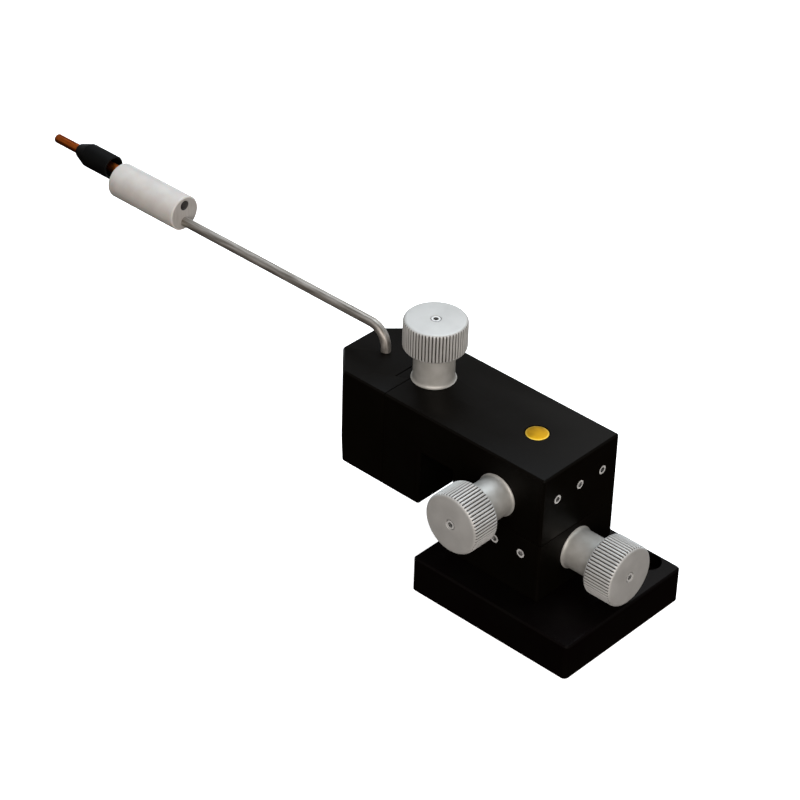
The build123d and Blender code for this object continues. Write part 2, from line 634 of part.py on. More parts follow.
NODES = {
    "base_plate": base_plate(),
    "x_rail": x_rail(),
    "x_rail_screws": x_rail_screws(),
    "x_drive_nut": x_drive_nut(),
    "x_block": x_block(),
    "x_gib": x_gib(),
    "x_gib_screws": x_gib_screws(),
    "x_neck": X_DRIVE * neck(X_NECK_LENGTH),
    "x_lead_screw": X_DRIVE * lead_screw(X_NECK_LENGTH, X_REACH),
    "x_knob": X_DRIVE * knob(X_NECK_LENGTH),
    "x_knob_screw": X_DRIVE * knob_screw(X_NECK_LENGTH),
    "y_rail": y_rail(),
    "y_rail_screws": y_rail_screws(),
    "y_drive_nut": y_drive_nut(),
    "arm_block": arm_block(),
    "y_gib": y_gib(),
    "y_gib_screws": y_gib_screws(),
    "y_neck": Y_DRIVE * neck(Y_NECK_LENGTH),
    "y_lead_screw": Y_DRIVE * lead_screw(Y_NECK_LENGTH, Y_REACH),
    "y_knob": Y_DRIVE * knob(Y_NECK_LENGTH),
    "y_knob_screw": Y_DRIVE * knob_screw(Y_NECK_LENGTH),
    "z_neck": Z_DRIVE * neck(Z_NECK_LENGTH),
    "z_lead_screw": Z_DRIVE * lead_screw(Z_NECK_LENGTH, Z_REACH),
    "z_knob": Z_DRIVE * knob(Z_NECK_LENGTH),
    "z_knob_screw": Z_DRIVE * knob_screw(Z_NECK_LENGTH),
    "brass_plug": brass_plug(),
    "nose_carriage": nose_carriage(),
    "z_gib": z_gib(),
    "z_gib_screws": z_gib_screws(),
    "z_drive_nut": z_drive_nut(),
    "arm_clamp_screw": arm_clamp_screw(),
    "bent_rod": bent_rod(),
    "insulator": insulator(),
    "probe_tube": probe_tube(),
    "tip_sleeve": tip_sleeve(),
}

os.makedirs("parts", exist_ok=True)
for name, shape in NODES.items():
    solid = Compound(children=shape) if isinstance(shape, list) else shape
    export_step(solid, f"parts/{name}.step")
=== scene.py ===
from math import asin, atan2, cos, floor, hypot, pi, radians, sin, tan

import bmesh
import bpy
from mathutils import Matrix, Quaternion, Vector


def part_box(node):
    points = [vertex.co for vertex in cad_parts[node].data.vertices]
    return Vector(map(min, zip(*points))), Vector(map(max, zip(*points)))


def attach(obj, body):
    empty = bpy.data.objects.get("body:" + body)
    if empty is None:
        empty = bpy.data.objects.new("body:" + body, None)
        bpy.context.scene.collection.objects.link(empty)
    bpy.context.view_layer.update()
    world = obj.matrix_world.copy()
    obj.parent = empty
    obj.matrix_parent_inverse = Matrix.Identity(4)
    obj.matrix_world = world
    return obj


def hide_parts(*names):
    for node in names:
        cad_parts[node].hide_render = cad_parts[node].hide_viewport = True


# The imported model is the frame. Everything below is in metres, in the frame of the base plate: +X forwards
# along the arm, +Y to the side knob, +Z up.
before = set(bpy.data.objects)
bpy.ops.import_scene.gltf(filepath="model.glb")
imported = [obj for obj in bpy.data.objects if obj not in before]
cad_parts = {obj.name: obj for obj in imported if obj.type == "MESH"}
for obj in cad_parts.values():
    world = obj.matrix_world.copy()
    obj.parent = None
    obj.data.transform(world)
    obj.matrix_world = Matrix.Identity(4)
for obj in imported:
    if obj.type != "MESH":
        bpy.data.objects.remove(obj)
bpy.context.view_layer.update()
MM = 0.001
MERGE_MM = 0.002


# Camera
# A long lens stands behind the positioner, to its left and above it, and leans over by almost two degrees.

CAMERA_PLACE = Vector((-0.3978, 0.5108, 0.5180))
CAMERA_HEADING = radians(-48.235)
CAMERA_DIP = radians(34.958)
CAMERA_LEAN = radians(1.854)
CAMERA_LENS_MM = 128.8
SENSOR_MM = 36.0

looking = Vector((
    cos(CAMERA_HEADING) * cos(CAMERA_DIP),
    sin(CAMERA_HEADING) * cos(CAMERA_DIP),
    -sin(CAMERA_DIP),
))
camera_data = bpy.data.cameras.new("studio_camera")
camera_data.lens = CAMERA_LENS_MM
camera_data.sensor_width = SENSOR_MM
camera_data.clip_start = 0.05
camera_data.clip_end = 20.0
camera = bpy.data.objects.new("studio_camera", camera_data)
camera.rotation_mode = "QUATERNION"
camera.location = CAMERA_PLACE
camera.rotation_quaternion = looking.to_track_quat("-Z", "Y") @ Quaternion((0, 0, 1), CAMERA_LEAN)
bpy.context.scene.collection.objects.link(camera)
bpy.context.scene.camera = camera


# Studio
# A white backlit table in a dim white room over a dark bench. The big softbox hangs high behind the positioner,
# a weak one fills in from the camera's side, and two low ones give the black top faces and the arm their sheen.
# The table is lit from within, so hardly a shadow shows on it. It is kept out of the metal's reflections, apart
# from a card on its far side, which draws the thin light line along the upper edges of the knobs and the arm.

TABLE_SIZE = 6.0
TABLE_GLOW = 0.85
CARD_SIZE = 1.2
CARD_PLACE = Vector((0.64, -0.65, 0.001))
ROOM_HEX = "#ffffff"
BENCH_HEX = "#4a3b33"
ROOM_STRENGTH = 0.3
HORIZON_BLUR = 0.1
SOFTBOXES = {
    "key": dict(place=(0.22, -0.36, 1.15), size=(0.9, 0.7), watts=9.6, hex="#e8f4ff"),
    "fill": dict(place=(-0.62, 0.62, 0.42), size=(1.3, 0.7), watts=9.0, hex="#fff8f2"),
    "top_sheen": dict(place=(0.12, -0.340, 0.345), size=(0.24, 0.2), watts=0.26, hex="#ffffff"),
    "arm_sheen": dict(place=(0.53, -0.33, 0.38), size=(0.26, 0.16), watts=0.06, hex="#ffffff"),
}
AIM = Vector((0.03, 0.0, 0.04))


def colour(hex_value):
    """sRGB hex value as a linear colour with full alpha."""
    parts = [int(hex_value[i:i + 2], 16) / 255 for i in (1, 3, 5)]
    return [part / 12.92 if part <= 0.04045 else ((part + 0.055) / 1.055) ** 2.4 for part in parts] + [1.0]


def add_node(tree, kind, values=None, links=None, **settings):
    """Adds one node, with its settings, its socket values and the links that feed it."""
    node = tree.nodes.new(kind)
    for name, value in settings.items():
        setattr(node, name, value)
    for socket, value in (values or {}).items():
        node.inputs[socket].default_value = value
    for socket, source in (links or {}).items():
        tree.links.new(source, node.inputs[socket])
    return node


def new_material(name, **values):
    """Material with only its shader and output, ready for the nodes that feed them."""
    material = bpy.data.materials.new(name)
    material.use_nodes = True
    tree = material.node_tree
    tree.nodes.clear()
    shader = add_node(tree, "ShaderNodeBsdfPrincipled", {key.replace("_", " "): values[key] for key in values})
    add_node(tree, "ShaderNodeOutputMaterial", links={"Surface": shader.outputs["BSDF"]})
    return material, tree, shader


def finish_piece(name, shape, material, smooth_angle=32.0, flat_from_mm2=25.0):
    """Turns a bmesh into a piece: merged, faces outwards, smooth except at creases and on large flat faces.

    With flat_from_mm2 None each face keeps the shading that it has.
    """
    bmesh.ops.remove_doubles(shape, verts=shape.verts, dist=MERGE_MM * MM)
    bmesh.ops.recalc_face_normals(shape, faces=shape.faces)
    mesh = bpy.data.meshes.new(name)
    shape.to_mesh(mesh)
    shape.free()
    if "custom_normal" in mesh.attributes:
        mesh.attributes.remove(mesh.attributes["custom_normal"])
    if flat_from_mm2 is not None:
        mesh.polygons.foreach_set("use_smooth", [face.area < flat_from_mm2 * MM ** 2 for face in mesh.polygons])
    mesh.set_sharp_from_angle(angle=radians(smooth_angle))
    mesh.materials.append(material)
    piece = bpy.data.objects.new(name, mesh)
    bpy.context.scene.collection.objects.link(piece)
    return piece


bpy.context.scene.view_settings.view_transform = "Standard"

room = bpy.data.worlds.new("white_room")
room.use_nodes = True
room_tree = room.node_tree
skyline = add_node(room_tree, "ShaderNodeTexCoord")
height = add_node(room_tree, "ShaderNodeSeparateXYZ", links={"Vector": skyline.outputs["Generated"]})
above = add_node(room_tree, "ShaderNodeMapRange", {"From Min": -HORIZON_BLUR, "From Max": HORIZON_BLUR},
                 {"Value": height.outputs["Z"]})
room_tint = add_node(room_tree, "ShaderNodeMix", {6: colour(BENCH_HEX), 7: colour(ROOM_HEX)},
                     {0: above.outputs["Result"]}, data_type="RGBA")
room_tree.links.new(room_tint.outputs[2], room_tree.nodes["Background"].inputs["Color"])
room_tree.nodes["Background"].inputs["Strength"].default_value = ROOM_STRENGTH
bpy.context.scene.world = room

for name, box in SOFTBOXES.items():
    light_data = bpy.data.lights.new(name, "AREA")
    light_data.shape = "RECTANGLE"
    light_data.size, light_data.size_y = box["size"]
    light_data.energy = box["watts"]
    light_data.color = colour(box["hex"])[:3]
    light = bpy.data.objects.new(name, light_data)
    light.location = box["place"]
    light.rotation_mode = "QUATERNION"
    light.rotation_quaternion = (AIM - Vector(box["place"])).to_track_quat("-Z", "Y")
    light.visible_camera = False
    bpy.context.scene.collection.objects.link(light)

# White acrylic sheet, lit from within.
table, table_tree, table_shader = new_material(
    "white_backlit_acrylic", Roughness=0.9, Specular_IOR_Level=0.1, Emission_Color=colour("#ffffff"),
    Emission_Strength=TABLE_GLOW)
table_haze = add_node(table_tree, "ShaderNodeTexNoise", {"Scale": 900.0, "Detail": 3.0})
table_tint = add_node(table_tree, "ShaderNodeMix", {6: colour("#f6f6f6"), 7: colour("#fafafa")},
                      {0: table_haze.outputs["Fac"]}, data_type="RGBA")
table_tree.links.new(table_tint.outputs[2], table_shader.inputs["Base Color"])
table_shape = bmesh.new()
bmesh.ops.create_grid(table_shape, x_segments=1, y_segments=1, size=TABLE_SIZE / 2)
table_top = finish_piece("table", table_shape, table)
table_top.visible_glossy = False
table_top.visible_diffuse = False

card_shape = bmesh.new()
bmesh.ops.create_grid(card_shape, x_segments=1, y_segments=1, size=CARD_SIZE / 2)
bmesh.ops.translate(card_shape, verts=card_shape.verts, vec=CARD_PLACE)
card = finish_piece("card", card_shape, table)
card.visible_camera = False
card.visible_diffuse = False
card.visible_shadow = False


# Base plate, column, bridge and nose
# Milled blocks: the base is steel, the rest aluminium. All are bead blasted and black anodised or blackened,
# with their edges broken, so their faces are an even satin black and only the edges catch a line of light.

BROKEN_EDGE = 0.3
CRISP_ANGLE = radians(40)
COPLANAR_ANGLE = radians(1.0)
NARROW_FLAT = 0.9
BLAST_GRAIN = 0.35


def object_pattern(tree, size_mm, kind="ShaderNodeTexNoise", stretch=(1, 1, 1), **values):
    """Noise or another texture on Object coordinates, with grains of the given size."""
    place = add_node(tree, "ShaderNodeTexCoord")
    scaled = add_node(tree, "ShaderNodeMapping", {"Scale": stretch}, {"Vector": place.outputs["Object"]})
    return add_node(tree, kind, {"Scale": 1 / (size_mm * MM), **values}, {"Vector": scaled.outputs["Vector"]})


def ramp(tree, source, *stops):
    """Colour ramp from (place, hex) stops."""
    node = add_node(tree, "ShaderNodeValToRGB", links={"Fac": source})
    while len(node.color_ramp.elements) < len(stops):
        node.color_ramp.elements.new(0.5)
    for element, (place, hex_value) in zip(node.color_ramp.elements, stops):
        element.position = place
        element.color = colour(hex_value)
    return node.outputs["Color"]


def span(tree, source, low, high):
    """Maps a noise's middle range onto low to high."""
    node = add_node(tree, "ShaderNodeMapRange",
                    {"From Min": 0.3, "From Max": 0.7, "To Min": low, "To Max": high}, {"Value": source})
    return node.outputs["Result"]


def bump(tree, shader, height, strength, depth_mm):
    """Relief on a shader from a pattern."""
    node = add_node(tree, "ShaderNodeBump", {"Strength": strength, "Distance": depth_mm * MM}, {"Height": height})
    tree.links.new(node.outputs["Normal"], shader.inputs["Normal"])


def blasted_black(name, dark, light, sheen):
    """Bead-blasted metal, anodised or blackened: soft satin with a fine grain and faint handling marks."""
    material, tree, shader = new_material(name, Specular_IOR_Level=sheen)
    grain = object_pattern(tree, BLAST_GRAIN, Detail=2.0)
    marks = object_pattern(tree, 14, Detail=4.0, Roughness=0.6)
    tree.links.new(ramp(tree, marks.outputs["Fac"], (0.35, dark), (0.68, light)), shader.inputs["Base Color"])
    tree.links.new(span(tree, marks.outputs["Fac"], 0.3, 0.38), shader.inputs["Roughness"])
    bump(tree, shader, grain.outputs["Fac"], 0.08, 0.02)
    return material


black_anodised = blasted_black("black_anodised_aluminium", "#070503", "#090705", 0.05)
blackened_steel = blasted_black("blackened_steel", "#060303", "#070504", 0.05)


def dressed_block(node, body, material, edge_mm=BROKEN_EDGE, shortest_mm=1.0):
    """Merged copy of a milled piece with every crisp edge broken by a narrow round."""
    shape = bmesh.new()
    shape.from_mesh(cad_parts[node].data)
    bmesh.ops.remove_doubles(shape, verts=shape.verts, dist=MERGE_MM * MM)
    bmesh.ops.dissolve_limit(shape, angle_limit=COPLANAR_ANGLE, verts=shape.verts, edges=shape.edges)
    crisp = [edge for edge in shape.edges if edge.is_manifold and edge.calc_face_angle() > CRISP_ANGLE
             and edge.calc_length() > shortest_mm * MM]
    bmesh.ops.bevel(shape, geom=crisp, offset=edge_mm * MM, offset_type="OFFSET", segments=3, profile=0.5,
                    affect="EDGES", material=-1, clamp_overlap=True)
    # Walls of holes, broken edges and the narrow flats between them shade as rounds, all wide faces as flats.
    for face in shape.faces:
        face.smooth = face.calc_area() / max(edge.calc_length() for edge in face.edges) < NARROW_FLAT * MM
    piece = finish_piece(node + "_body", shape, material, flat_from_mm2=None)
    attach(piece, body)
    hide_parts(node)
    return piece


BLACKS = {
    "base_plate": ("base", blackened_steel, "black_steel"),
    "x_block": ("x_stage", black_anodised, "black_anodised"),
    "arm_block": ("arm", black_anodised, "black_anodised"),
    "nose_carriage": ("z_carriage", black_anodised, "black_anodised"),
}
for block_node, (block_body, block_black, block_slot) in BLACKS.items():
    dressed_block(block_node, block_body, block_black)


# Neck bushes
# Turned from aluminium bar, bead blasted and clear anodised. Each flares in a small cove where it meets the
# black wall, and the lead screw runs through it.

TURNED_STEPS = 96
NECK_R = 6.1
NECK_FLANGE_R = 6.65
NECK_FLARE = 1.3
NECK_LIP = 0.12
SPIGOT_R = 4.5
SPIGOT = 4.0
NECK_BORE_R = 2.55
COVE_STEPS = 6
DRIVES = {
    "x": dict(place=(-9.9, 0, 22.4), out=(-1, 0, 0), neck=10.0, stage="x_stage", turning="x_drive"),
    "y": dict(place=(6.7, 16.2, 40.6), out=(0, 1, 0), neck=9.7, stage="arm", turning="y_drive"),
    "z": dict(place=(45.7, 0, 53.65), out=(0, 0, 1), neck=10.3, stage="arm", turning="z_drive"),
}


def placed(shape, place, out=(0, 0, 1), roll=0.0):
    """Moves a shape made on the z axis in millimetres to its place in metres, with z turned to out."""
    turn = Vector(out).to_track_quat("Z", "Y").to_matrix().to_4x4()
    matrix = Matrix.Scale(MM, 4) @ Matrix.Translation(place) @ turn @ Matrix.Rotation(roll, 4, "Z")
    bmesh.ops.transform(shape, matrix=matrix, verts=shape.verts)


def turned(shape, points, steps=TURNED_STEPS, angle=2 * pi, start=0.0, closed=True):
    """Spins a half section of (radius, height) points about the z axis, or through part of a turn."""
    profile = [shape.verts.new((radius * cos(start), radius * sin(start), height)) for radius, height in points]
    pairs = list(zip(profile, profile[1:] + profile[:1] if closed else profile[1:]))
    edges = [shape.edges.new(pair) for pair in pairs]
    whole = angle == 2 * pi
    bmesh.ops.spin(shape, geom=profile + edges, cent=(0, 0, 0), axis=(0, 0, 1), angle=angle, steps=steps,
                   use_merge=whole, use_duplicate=False)
    return shape


def quarter(centre, radius_x, radius_y, start, end, steps=COVE_STEPS):
    """Points of an arc in a half section, from one angle in degrees to another."""
    angles = [radians(start + (end - start) * step / steps) for step in range(steps + 1)]
    return [(centre[0] + radius_x * cos(angle), centre[1] + radius_y * sin(angle)) for angle in angles]


# Clear anodised, blasted aluminium: pale matte silver with no mirror.
silver, silver_tree, silver_shader = new_material("clear_anodised_aluminium", Metallic=0.35)
silver_blast = object_pattern(silver_tree, 0.25, Detail=2.0)
silver_cloud = object_pattern(silver_tree, 6, Detail=3.0)
silver_tree.links.new(ramp(silver_tree, silver_cloud.outputs["Fac"], (0.35, "#bebdba"), (0.65, "#c7c6c3")),
                      silver_shader.inputs["Base Color"])
silver_tree.links.new(span(silver_tree, silver_cloud.outputs["Fac"], 0.5, 0.6), silver_shader.inputs["Roughness"])
bump(silver_tree, silver_shader, silver_blast.outputs["Fac"], 0.1, 0.02)

# The same aluminium left as turned under its anodising: shinier than the blasted knobs, and coloured darker, which is
# partly painted shade standing for the knobs' shadow on the necks.
neck_silver_with_shade, neck_tree, neck_shader = new_material("turned_aluminium_painted_shade", Metallic=0.4)
neck_cloud = object_pattern(neck_tree, 3, Detail=3.0)
neck_tree.links.new(ramp(neck_tree, neck_cloud.outputs["Fac"], (0.35, "#b0aea8"), (0.65, "#bbb9b4")),
                    neck_shader.inputs["Base Color"])
neck_tree.links.new(span(neck_tree, neck_cloud.outputs["Fac"], 0.42, 0.5), neck_shader.inputs["Roughness"])

for axis, drive in DRIVES.items():
    cove = quarter((NECK_FLANGE_R, NECK_FLARE), NECK_FLANGE_R - NECK_R, NECK_FLARE - NECK_LIP, -90, -180)
    bush = turned(bmesh.new(), [
        (NECK_BORE_R, -SPIGOT), (SPIGOT_R, -SPIGOT), (SPIGOT_R, 0), (NECK_FLANGE_R, 0), *cove,
        (NECK_R, drive["neck"]), (NECK_BORE_R, drive["neck"]),
    ])
    placed(bush, drive["place"], drive["out"])
    bush_piece = finish_piece(f"{axis}_neck_bush", bush, neck_silver_with_shade, flat_from_mm2=60)
    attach(bush_piece, drive["stage"])
    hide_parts(f"{axis}_neck")


# Knobs
# Turned aluminium with a straight knurl rolled on: 57 sharp-bottomed grooves that run out into rounded rims.
# Blasted and clear anodised like the necks. A set screw in the centre holds each to its lead screw.

KNOB_R = 9.4
KNOB_LENGTH = 9.6
KNOB_GAP = 0.1
KNOB_RIM = 1.1
KNOB_SOCKET = 5.0
KNOB_SOCKET_R = 2.53
KNOB_HOLE_R = 1.53
KNOB_HOLE_CHAMFER = 0.12
KNURL_TEETH = 57
KNURL_DEPTH = 0.5
KNURL_STEPS = 6
GROOVE_SHARE = 0.7
SHADED_FROM = 0.3

# The bottoms of the grooves: the same aluminium, coloured dark grey as painted shade in the knurl's hollows.
groove_painted_shade, groove_tree, groove_shader = new_material("knurl_groove_painted_shade", Metallic=0.3, Roughness=0.6)
groove_cloud = object_pattern(groove_tree, 1.2, Detail=3.0)
groove_tree.links.new(ramp(groove_tree, groove_cloud.outputs["Fac"], (0.35, "#3e3a37"), (0.65, "#55504c")),
                      groove_shader.inputs["Base Color"])


def knurl_radius(angle):
    """Radius of the knurl at an angle: flat crests with V grooves between them."""
    place = angle / (2 * pi) * KNURL_TEETH
    off_groove = abs(place - floor(place) - 0.5) * 2
    return KNOB_R - KNURL_DEPTH * max(0.0, 1 - off_groove / GROOVE_SHARE)


for axis, drive in DRIVES.items():
    side = KNOB_R
    rim_low = quarter((side - KNOB_RIM, KNOB_RIM), KNOB_RIM, KNOB_RIM, -90, 0, 5)
    rim_high = quarter((side - KNOB_RIM, KNOB_LENGTH - KNOB_RIM), KNOB_RIM, KNOB_RIM, 0, 90, 5)
    knob = turned(bmesh.new(), [
        (KNOB_SOCKET_R, 0), *rim_low, *rim_high,
        (KNOB_HOLE_R + KNOB_HOLE_CHAMFER, KNOB_LENGTH), (KNOB_HOLE_R, KNOB_LENGTH - KNOB_HOLE_CHAMFER),
        (KNOB_HOLE_R, KNOB_SOCKET), (KNOB_SOCKET_R, KNOB_SOCKET),
    ], steps=KNURL_TEETH * KNURL_STEPS)
    for vert in knob.verts:
        reach = hypot(vert.co.x, vert.co.y)
        groove = knurl_radius(atan2(vert.co.y, vert.co.x))
        if reach > groove:
            vert.co.x *= groove / reach
            vert.co.y *= groove / reach
    # Faces deep in the knurl's grooves take the painted groove shade.
    for face in knob.faces:
        middle = face.calc_center_median()
        depth = KNOB_R - hypot(middle.x, middle.y)
        on_side = KNOB_RIM * 0.5 < middle.z < KNOB_LENGTH - KNOB_RIM * 0.5
        face.material_index = int(on_side and SHADED_FROM < depth < KNURL_DEPTH + 0.1)
    placed(knob, drive["place"], drive["out"])
    offset = Vector(drive["out"]) * (drive["neck"] + KNOB_GAP) * MM
    bmesh.ops.translate(knob, verts=knob.verts, vec=offset)
    knob_piece = finish_piece(f"{axis}_knurled_knob", knob, silver, smooth_angle=24)
    knob_piece.data.materials.append(groove_painted_shade)
    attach(knob_piece, drive["turning"])
    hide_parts(f"{axis}_knob")


# Set screws
# M3 steel grub screws with a hexagon socket, plain bright: three in each slide press the gib strip, one in each
# knob holds it on, and a larger one in the nose clamps the rod. Two black cap screws hold the X rail from below.

SCREW_R = 1.5
SOCKET_FLATS = 1.5
SOCKET_DEPTH = 1.6
SCREW_CHAMFER = 0.15
SCREW_RECESS = 0.1
SCREW_SIDES = 36
HEXAGON_SPREAD = 1.12
# Radius, length, width across the flats and depth of the socket. A cap screw's shank and head height follow.
GIB_SCREW = (SCREW_R, 7.0, SOCKET_FLATS, SOCKET_DEPTH)
KNOB_SCREW = (SCREW_R, 7.5, SOCKET_FLATS, SOCKET_DEPTH)
CLAMP_SCREW = (2.0, 8.6, 2.0, 2.2)
CAP_HEAD_R = 3.5
CAP_FLATS = 3.0
CAP_SOCKET = 2.0
CAP_SHANK_R = 2.0
CAP_HEAD = 4.0
CLAMP_PLACE = (74.8 - SCREW_RECESS, 0, 44.0)
GIB_ROWS = {
    "x": dict(middle=(6.7, 16.2, 25.2), step=(9.7, 0, 0), out=(0, 1, 0), body="x_stage"),
    "y": dict(middle=(-9.9, 0, 44.3), step=(0, 9.7, 0), out=(-1, 0, 0), body="arm"),
    "z": dict(middle=(51.65, -16.2, 38.0), step=(0, 0, 9.0), out=(0, -1, 0), body="z_carriage"),
}

# Bright turned steel of the screws: fine turning rings are below the picture's resolution, so only a soft blur.
bright_steel, bright_tree, bright_shader = new_material("bright_turned_steel", Metallic=0.3)
bright_cloud = object_pattern(bright_tree, 1.5, Detail=3.0)
bright_tree.links.new(ramp(bright_tree, bright_cloud.outputs["Fac"], (0.35, "#e6e6e4"), (0.65, "#f4f4f2")),
                      bright_shader.inputs["Base Color"])
bright_tree.links.new(span(bright_tree, bright_cloud.outputs["Fac"], 0.28, 0.4), bright_shader.inputs["Roughness"])


# Inside of the sockets: broached steel, coloured near black as painted shade in the deep socket.
socket_shade_steel, socket_tree, socket_shader = new_material("socket_painted_shade", Metallic=0.4, Roughness=0.6)
socket_cloud = object_pattern(socket_tree, 0.6, Detail=2.0)
socket_tree.links.new(ramp(socket_tree, socket_cloud.outputs["Fac"], (0.35, "#1b1b1b"), (0.65, "#262625")),
                      socket_shader.inputs["Base Color"])


# Alloy steel with a black oxide finish: dark grey, slightly oily.
black_oxide, oxide_tree, oxide_shader = new_material("black_oxide_steel", Metallic=0.5, Roughness=0.42)
oxide_cloud = object_pattern(oxide_tree, 2, Detail=3.0)
oxide_tree.links.new(ramp(oxide_tree, oxide_cloud.outputs["Fac"], (0.35, "#232322"), (0.65, "#2e2e2d")),
                     oxide_shader.inputs["Base Color"])


def hexagon_radius(angle, flats):
    """Distance from the centre to a hexagon's side, for a hexagon that wide across its flats."""
    sixth = pi / 3
    return flats / 2 / cos((angle % sixth) - sixth / 2)


def socket_screw(radius, length, flats, socket_depth, shank=None, head=0.0):
    """Screw on the z axis with its outer end at 0, chamfered, with a hexagon socket in that end."""
    lower = [(radius, -length)] if shank is None else [(shank, -length), (shank, -head), (radius, -head)]
    screw = turned(bmesh.new(), [
        (0, -length), *lower, (radius, -SCREW_CHAMFER), (radius - SCREW_CHAMFER, 0),
        (flats, 0), (flats, -socket_depth), (0, -socket_depth),
    ], steps=SCREW_SIDES, closed=False)
    for vert in screw.verts:
        reach = hypot(vert.co.x, vert.co.y)
        if abs(reach - flats) < 0.001:
            scale = hexagon_radius(atan2(vert.co.y, vert.co.x), flats) / reach
            vert.co.x *= scale
            vert.co.y *= scale
    # Faces inside the hexagon socket take the painted socket shade.
    for face in screw.faces:
        middle = face.calc_center_median()
        in_socket = hypot(middle.x, middle.y) < flats / 2 * HEXAGON_SPREAD and -socket_depth * 1.01 < middle.z < -0.001
        face.material_index = int(in_socket)
    return screw


def screw_piece(name, body, node, places, out, sizes, steel=bright_steel):
    """One piece of like screws, each with its outer end at a place in millimetres."""
    together = bmesh.new()
    for number, place in enumerate(places):
        screw = socket_screw(*sizes)
        placed(screw, place, out, roll=radians(17 * number + 8))
        part = bpy.data.meshes.new("screw_part")
        screw.to_mesh(part)
        screw.free()
        together.from_mesh(part)
        bpy.data.meshes.remove(part)
    piece = finish_piece(name, together, steel)
    piece.data.materials.append(socket_shade_steel)
    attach(piece, body)
    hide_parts(node)


for axis, row in GIB_ROWS.items():
    middle = Vector(row["middle"]) - Vector(row["out"]) * SCREW_RECESS
    screw_piece(f"{axis}_gib_grub_screws", row["body"], f"{axis}_gib_screws",
                [middle + Vector(row["step"]) * number for number in (-1, 0, 1)], row["out"], GIB_SCREW)
screw_piece("arm_clamp_grub_screw", "z_carriage", "arm_clamp_screw", [CLAMP_PLACE], (1, 0, 0), CLAMP_SCREW)
# The two cap screws that hold the X rail, in the pockets of the base's underside.
cap_low, cap_high = (Vector(corner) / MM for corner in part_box("x_rail_screws"))
screw_piece("rail_cap_screws", "base", "x_rail_screws",
            [(x, 0, cap_low.z) for x in (cap_low.x + CAP_HEAD_R, cap_high.x - CAP_HEAD_R)], (0, 0, -1),
            (CAP_HEAD_R, cap_high.z - cap_low.z, CAP_FLATS, CAP_SOCKET, CAP_SHANK_R, CAP_HEAD), black_oxide)
for axis, drive in DRIVES.items():
    face = Vector(drive["place"]) + Vector(drive["out"]) * (drive["neck"] + KNOB_GAP + KNOB_LENGTH - SCREW_RECESS)
    screw_piece(f"{axis}_knob_grub_screw", drive["turning"], f"{axis}_knob_screw", [face], drive["out"], KNOB_SCREW)


# Brass plug
# A turned brass disc pressed into the top face above the column, very slightly crowned, with a painted highlight ring
# and painted shade at its edge.

PLUG_PLACE = (6.6, 0, 53.65)
PLUG_R = 3.6
PLUG_DEPTH = 5.0
PLUG_ROUND = 0.3
PLUG_CROWN = 0.1
# Rings on the plug, as shares of a reach of 4 mm from its centre: a pale ring of painted highlight, and painted shade
# on the rounded edge outside it.
PLUG_REACH = 4.0
RIM_HIGHLIGHT_RING = (0.7, 0.8)
EDGE_SHADE_RING = (0.83, 0.85)

# Yellow brass, polished and lacquered: a deep golden yellow with a soft cloudy variation.
brass, brass_tree, brass_shader = new_material("lacquered_yellow_brass", Metallic=1.0)
brass_cloud = object_pattern(brass_tree, 2.5, Detail=3.0)
brass_skin = ramp(brass_tree, brass_cloud.outputs["Fac"], (0.35, "#a87d0c"), (0.65, "#b78a14"))
# Painted shade darkens the rounded edge round the plug, and a painted highlight makes the ring inside it pale.
brass_place = add_node(brass_tree, "ShaderNodeTexCoord")
brass_off = add_node(brass_tree, "ShaderNodeVectorMath", {1: [step * MM for step in PLUG_PLACE]},
                     {0: brass_place.outputs["Object"]}, operation="DISTANCE")
brass_reach = add_node(brass_tree, "ShaderNodeMapRange", {"From Min": 0.0, "From Max": PLUG_REACH * MM},
                       {"Value": brass_off.outputs["Value"]})
brass_highlight_mask = ramp(brass_tree, brass_reach.outputs["Result"], *zip(RIM_HIGHLIGHT_RING, ("#000000", "#ffffff")))
brass_shade_mask = ramp(brass_tree, brass_reach.outputs["Result"], *zip(EDGE_SHADE_RING, ("#000000", "#ffffff")))
brass_highlighted = add_node(brass_tree, "ShaderNodeMix", {7: colour("#c3a03c")}, {0: brass_highlight_mask, 6: brass_skin},
                        data_type="RGBA")
brass_shaded = add_node(brass_tree, "ShaderNodeMix", {7: colour("#150e02")},
                      {0: brass_shade_mask, 6: brass_highlighted.outputs[2]}, data_type="RGBA")
brass_tree.links.new(brass_shaded.outputs[2], brass_shader.inputs["Base Color"])
brass_tree.links.new(span(brass_tree, brass_cloud.outputs["Fac"], 0.3, 0.42), brass_shader.inputs["Roughness"])

plug = turned(bmesh.new(), [
    (0, -PLUG_DEPTH), (PLUG_R, -PLUG_DEPTH), *quarter((PLUG_R - PLUG_ROUND, -PLUG_CROWN - PLUG_ROUND), PLUG_ROUND,
                                                      PLUG_ROUND, 0, 90, 4),
    (PLUG_R * 0.5, -PLUG_CROWN * 0.25), (0, 0),
], closed=False)
placed(plug, PLUG_PLACE)
plug_piece = finish_piece("brass_disc", plug, brass)
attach(plug_piece, "arm")
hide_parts("brass_plug")


# Bent rod
# Drawn stainless rod, 3 mm, bent cold round a former: upright in the nose, then straight forwards. Its drawn
# skin is greyish brown and satin.

ROD_R = 1.5
ROD_X = 64.5
ROD_BOTTOM = 34.0
ROD_HEIGHT = 61.0
ROD_BEND_R = 6.0
ROD_END = 160.6
ROD_CHAMFER = 0.3
ROD_SIDES = 40
BEND_STEPS = 20

